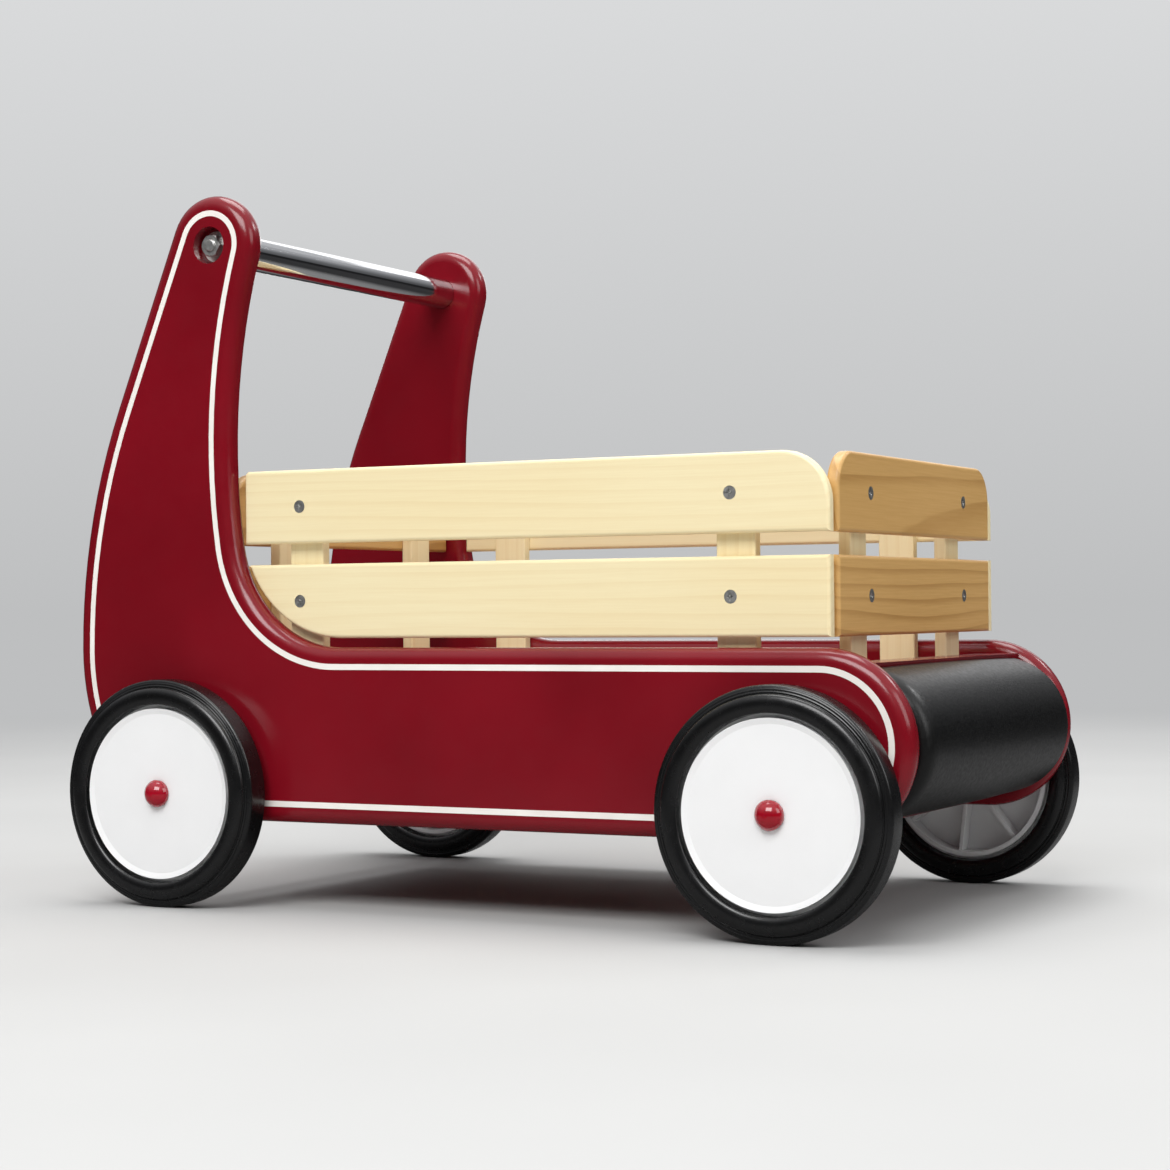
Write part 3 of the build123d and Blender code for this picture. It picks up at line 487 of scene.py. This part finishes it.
def tyre(node_name):
    """A moulded tyre: a full round bulge beside the rim, fine shoulder ridges and a flat tread."""
    low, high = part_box(node_name)
    middle = (low + high) / 2
    rim_low, rim_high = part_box(node_name.replace("tyre", "rim"))
    crown = (high.z - low.z) / 2
    seat = (rim_high.z - rim_low.z) / 2
    side = tyre_section(seat, crown, (high.y - low.y) / 2)
    loop = side + [(radius, -out) for radius, out in reversed(side)]
    bm = bmesh.new()
    verts = [bm.verts.new((middle.x, middle.y + out, middle.z + radius)) for radius, out in loop]
    edges = [bm.edges.new(pair) for pair in zip(verts, verts[1:] + verts[:1])]
    bmesh.ops.spin(bm, geom=verts + edges, cent=middle, axis=(0, 1, 0), angle=2 * math.pi,
                   steps=TYRE_STEPS, use_merge=True)
    return bm


# ---------------------------------------------------------------- the wagon

red = red_enamel()
cream = cream_line_paint()
chrome = bright_chrome()
zinc = plated_steel("zinc_plate", "#C9C9C6", "#E4E4E1", 0.34, 0.48)
steel = plated_steel("drawn_steel", "#9A9A9B", "#B4B4B5", 0.24, 0.40)
rubber = tyre_rubber()
white = moulded_plastic("white_polypropylene", "#F0F0F0", "#F2F2F2", 0.25, 0.27, IOR=1.49)
clear_red = moulded_plastic("red_acetate_cap", "#93081B", "#A80F26", 0.06, 0.12, IOR=1.49,
                            Subsurface_Weight=0.25, Subsurface_Scale=2 * MM,
                            Coat_Weight=0.6, Coat_Roughness=0.03)
nylon = moulded_plastic("nylon_bushing", "#DAD7CD", "#E6E3DA", 0.42, 0.55, IOR=1.53)
foam = skinned_foam()
PALE = ("#F4E6BC", "#E2C88F", "#F0D8A4")
# The end rails' tones are deeper than the pale pine. This is partly the wood's own golden colour and
# partly painted shade for the front rails, which get little light.
GOLDEN_AND_SHADED = ("#D6AA69", "#A57537", "#C49854")
BROWN = ("#CBA679", "#B58B5C", "#C39A6B")
side_pine = sawn_wood("pine_side_rails", 0, (0, 0, 0.02), 7 * MM, PALE, 0.35)
# These two finishes carry the golden tones with their painted shade.
end_pine = sawn_wood("golden_shaded_pine_end_rails", 1, (0.20, 0, 0.10), 8 * MM, GOLDEN_AND_SHADED, 0.85)
swirled_pine = sawn_wood("swirled_golden_shaded_pine", 1, (0.20, 0, 0.235), 11 * MM, GOLDEN_AND_SHADED, 0.75)
post_pine = sawn_wood("pine_stakes", 2, (0.03, 0.05, 0), 6 * MM, PALE, 0.4)
beech = sawn_wood("beech_dowels", 1, (0, 0, 0.02), 3 * MM, BROWN, 0.3)

FINISH_OF_SLOT = {
    "red_wood": red, "pine": side_pine, "golden_pine": end_pine, "beech": beech,
    "chrome": chrome, "zinc_steel": zinc, "bright_steel": steel, "black_rubber": rubber,
    "white_plastic": white, "red_plastic": clear_red, "black_foam": foam, "nylon": nylon,
}
for subpart in frame["record"]["subparts"]:
    node_name = subpart["node"]
    finish = FINISH_OF_SLOT[subpart["material_slot"]]
    if "_stake_" in node_name:
        finish = post_pine
    if node_name == "front_upper_rail":
        finish = swirled_pine
    mesh_of_node = frame["nodes"][node_name].data
    mesh_of_node.materials.clear()
    mesh_of_node.materials.append(finish)

for hand in ("right", "left"):
    piece(f"{hand}_painted_line", painted_line(hand), cream, smooth=False)

for wheel in ("front_right", "front_left", "rear_right", "rear_left"):
    tyre_node = f"{wheel}_tyre"
    moulded = piece(f"{wheel}_moulded_tyre", tyre(tyre_node), rubber,
                    f"{wheel}_wheel")
    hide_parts(tyre_node)

bumper = piece("foam_bumper", foam_bumper(), foam)
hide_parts("bumper_pad")


# ---------------------------------------------------------------- studio

FLOOR_HALF = 30.0              # metres from the middle to the floor's edge
FLOOR_TONES = ("#B8B8B7", "#BBBBBA")
FLOOR_MELTS = (0.9, 3.2)       # metres out where it begins and ends to melt into the backdrop
GLOSS_TONE = "#747474"         # the floor in reflections, near and far
GLOSS_DARK = "#3A3A3B"
GLOSS_DARKENS = (0.5, 1.3)
BACKDROP_LOW = "#BEBFC0"       # the backdrop where it meets the floor, and further up
BACKDROP_HIGH = "#D9DADB"
AIR_STRENGTH = 0.9
LIGHT_AIM = Vector((0.0, 0.0, 0.2))
SOFTBOXES = {                  # place, width and height in metres, watts
    "key_softbox": ((0.4, -2.4, 2.3), (2.2, 1.4), 73),
    "side_softbox": ((2.6, -0.4, 1.5), (1.4, 1.4), 17),
    "top_softbox": ((-0.2, 0.4, 2.8), (1.8, 1.4), 42),
    "back_softbox": ((-0.7, 2.4, 1.4), (2.0, 1.3), 9),
    "strip_softbox": ((-1.5, 2.4, 0.8), (1.4, 0.35), 5),
    "edge_softbox": ((1.4, 2.1, 2.1), (0.8, 0.5), 9),
}
CAMERA_PLACE = (0.76303, -1.41917, 0.19018)
CAMERA_AZIMUTH = math.radians(28.01)
CAMERA_PITCH = math.radians(0.52)
CAMERA_ROLL = math.radians(-0.50)
LENS_MM = 74.55
SENSOR_MM = 36


def paper_floor():
    """The floor's paper: pale grey, with the faintest clouds. It melts into the backdrop, and in
    reflections it is as dark as a studio's floor beyond the lights."""
    material, tree, place = blank_finish("studio_paper")
    dark, light = FLOOR_TONES
    tone = add(tree, "ShaderNodeValToRGB", {"Fac": lumps(tree, place, 300 * MM)},
               stops=[(LUMPS_LOW, dark), (LUMPS_HIGH, light)])
    paper = add(tree, "ShaderNodeBsdfDiffuse", {"Color": tone.outputs["Color"]})
    away = add(tree, "ShaderNodeVectorMath", {0: place}, operation="LENGTH")
    melted = add(tree, "ShaderNodeMapRange", {
        "Value": away.outputs["Value"], "From Min": FLOOR_MELTS[0], "From Max": FLOOR_MELTS[1]},
        interpolation_type="SMOOTHSTEP")
    distance = add(tree, "ShaderNodeEmission", {"Color": linear(BACKDROP_LOW)})
    seen = add(tree, "ShaderNodeMixShader", {
        0: melted.outputs["Result"], 1: paper.outputs["BSDF"], 2: distance.outputs["Emission"]})
    near = add(tree, "ShaderNodeBsdfDiffuse", {"Color": linear(GLOSS_TONE)})
    unlit = add(tree, "ShaderNodeEmission", {"Color": linear(GLOSS_DARK)})
    darkened = add(tree, "ShaderNodeMapRange", {
        "Value": away.outputs["Value"],
        "From Min": GLOSS_DARKENS[0], "From Max": GLOSS_DARKENS[1]},
        interpolation_type="SMOOTHSTEP")
    mirrored = add(tree, "ShaderNodeMixShader", {
        0: darkened.outputs["Result"], 1: near.outputs["BSDF"], 2: unlit.outputs["Emission"]})
    in_gloss = add(tree, "ShaderNodeLightPath").outputs["Is Glossy Ray"]
    both = add(tree, "ShaderNodeMixShader", {
        0: in_gloss, 1: seen.outputs["Shader"], 2: mirrored.outputs["Shader"]})
    add(tree, "ShaderNodeOutputMaterial", {"Surface": both.outputs["Shader"]})
    return material


def studio_floor():
    """A floor that runs out of sight."""
    bm = bmesh.new()
    bmesh.ops.create_grid(bm, x_segments=1, y_segments=1, size=FLOOR_HALF)
    mesh = bpy.data.meshes.new("studio_floor")
    bm.to_mesh(mesh)
    bm.free()
    mesh.materials.append(paper_floor())
    floor = bpy.data.objects.new("studio_floor", mesh)
    bpy.context.scene.collection.objects.link(floor)


def softbox(name, place, size, watts):
    """A rectangular softbox that faces the wagon."""
    lamp = bpy.data.lights.new(name, "AREA")
    lamp.energy = watts
    lamp.shape = "RECTANGLE"
    lamp.size, lamp.size_y = size
    holder = bpy.data.objects.new(name, lamp)
    bpy.context.scene.collection.objects.link(holder)
    holder.location = place
    holder.visible_camera = False
    holder.rotation_euler = (LIGHT_AIM - Vector(place)).to_track_quat("-Z", "Y").to_euler()


def studio_world():
    """Soft light from above and a dark band at eye level, seen against a plain pale backdrop."""
    world = bpy.data.worlds.new("studio_air")
    bpy.context.scene.world = world
    world.use_nodes = True
    tree = world.node_tree
    tree.nodes.clear()
    direction = add(tree, "ShaderNodeTexCoord").outputs["Generated"]
    height = add(tree, "ShaderNodeSeparateXYZ", {"Vector": direction}).outputs["Z"]
    # From 0 straight down to 1 straight up.
    share = add(tree, "ShaderNodeMapRange", {
        "Value": height, "From Min": -1.0, "From Max": 1.0}).outputs["Result"]
    light = add(tree, "ShaderNodeValToRGB", {"Fac": share}, stops=[
        (0.0, "#808080"), (0.44, "#303031"), (0.56, "#1E1E20"), (0.62, "#5E5F61"),
        (0.70, "#949598"), (0.84, "#E6E7E9"), (1.0, "#FFFFFF")])
    lit = add(tree, "ShaderNodeBackground", {
        "Color": light.outputs["Color"], "Strength": AIR_STRENGTH})
    backdrop = add(tree, "ShaderNodeValToRGB", {"Fac": share}, stops=[
        (0.5, BACKDROP_LOW), (0.62, BACKDROP_HIGH)])
    seen = add(tree, "ShaderNodeBackground", {"Color": backdrop.outputs["Color"], "Strength": 1.0})
    straight = add(tree, "ShaderNodeLightPath").outputs["Is Camera Ray"]
    both = add(tree, "ShaderNodeMixShader", {
        0: straight, 1: lit.outputs["Background"], 2: seen.outputs["Background"]})
    add(tree, "ShaderNodeOutputWorld", {"Surface": both.outputs["Shader"]})


def camera():
    """A long lens, low and well round to the wagon's right front."""
    forward = Vector((-math.sin(CAMERA_AZIMUTH) * math.cos(CAMERA_PITCH),
                      math.cos(CAMERA_AZIMUTH) * math.cos(CAMERA_PITCH), math.sin(CAMERA_PITCH)))
    right = Vector((math.cos(CAMERA_AZIMUTH), math.sin(CAMERA_AZIMUTH), 0))
    up = right.cross(forward)
    tilted_right = math.cos(CAMERA_ROLL) * right + math.sin(CAMERA_ROLL) * up
    tilted_up = math.cos(CAMERA_ROLL) * up - math.sin(CAMERA_ROLL) * right
    lens = bpy.data.cameras.new("camera")
    lens.lens = LENS_MM
    lens.sensor_width = SENSOR_MM
    eye = bpy.data.objects.new("camera", lens)
    bpy.context.scene.collection.objects.link(eye)
    turn = Matrix((tilted_right, tilted_up, -forward)).transposed().to_4x4()
    eye.matrix_world = Matrix.Translation(CAMERA_PLACE) @ turn
    bpy.context.scene.camera = eye


studio_floor()
studio_world()
for name, (place, size, watts) in SOFTBOXES.items():
    softbox(name, place, size, watts)
camera()
bpy.context.scene.view_settings.view_transform = "Standard"
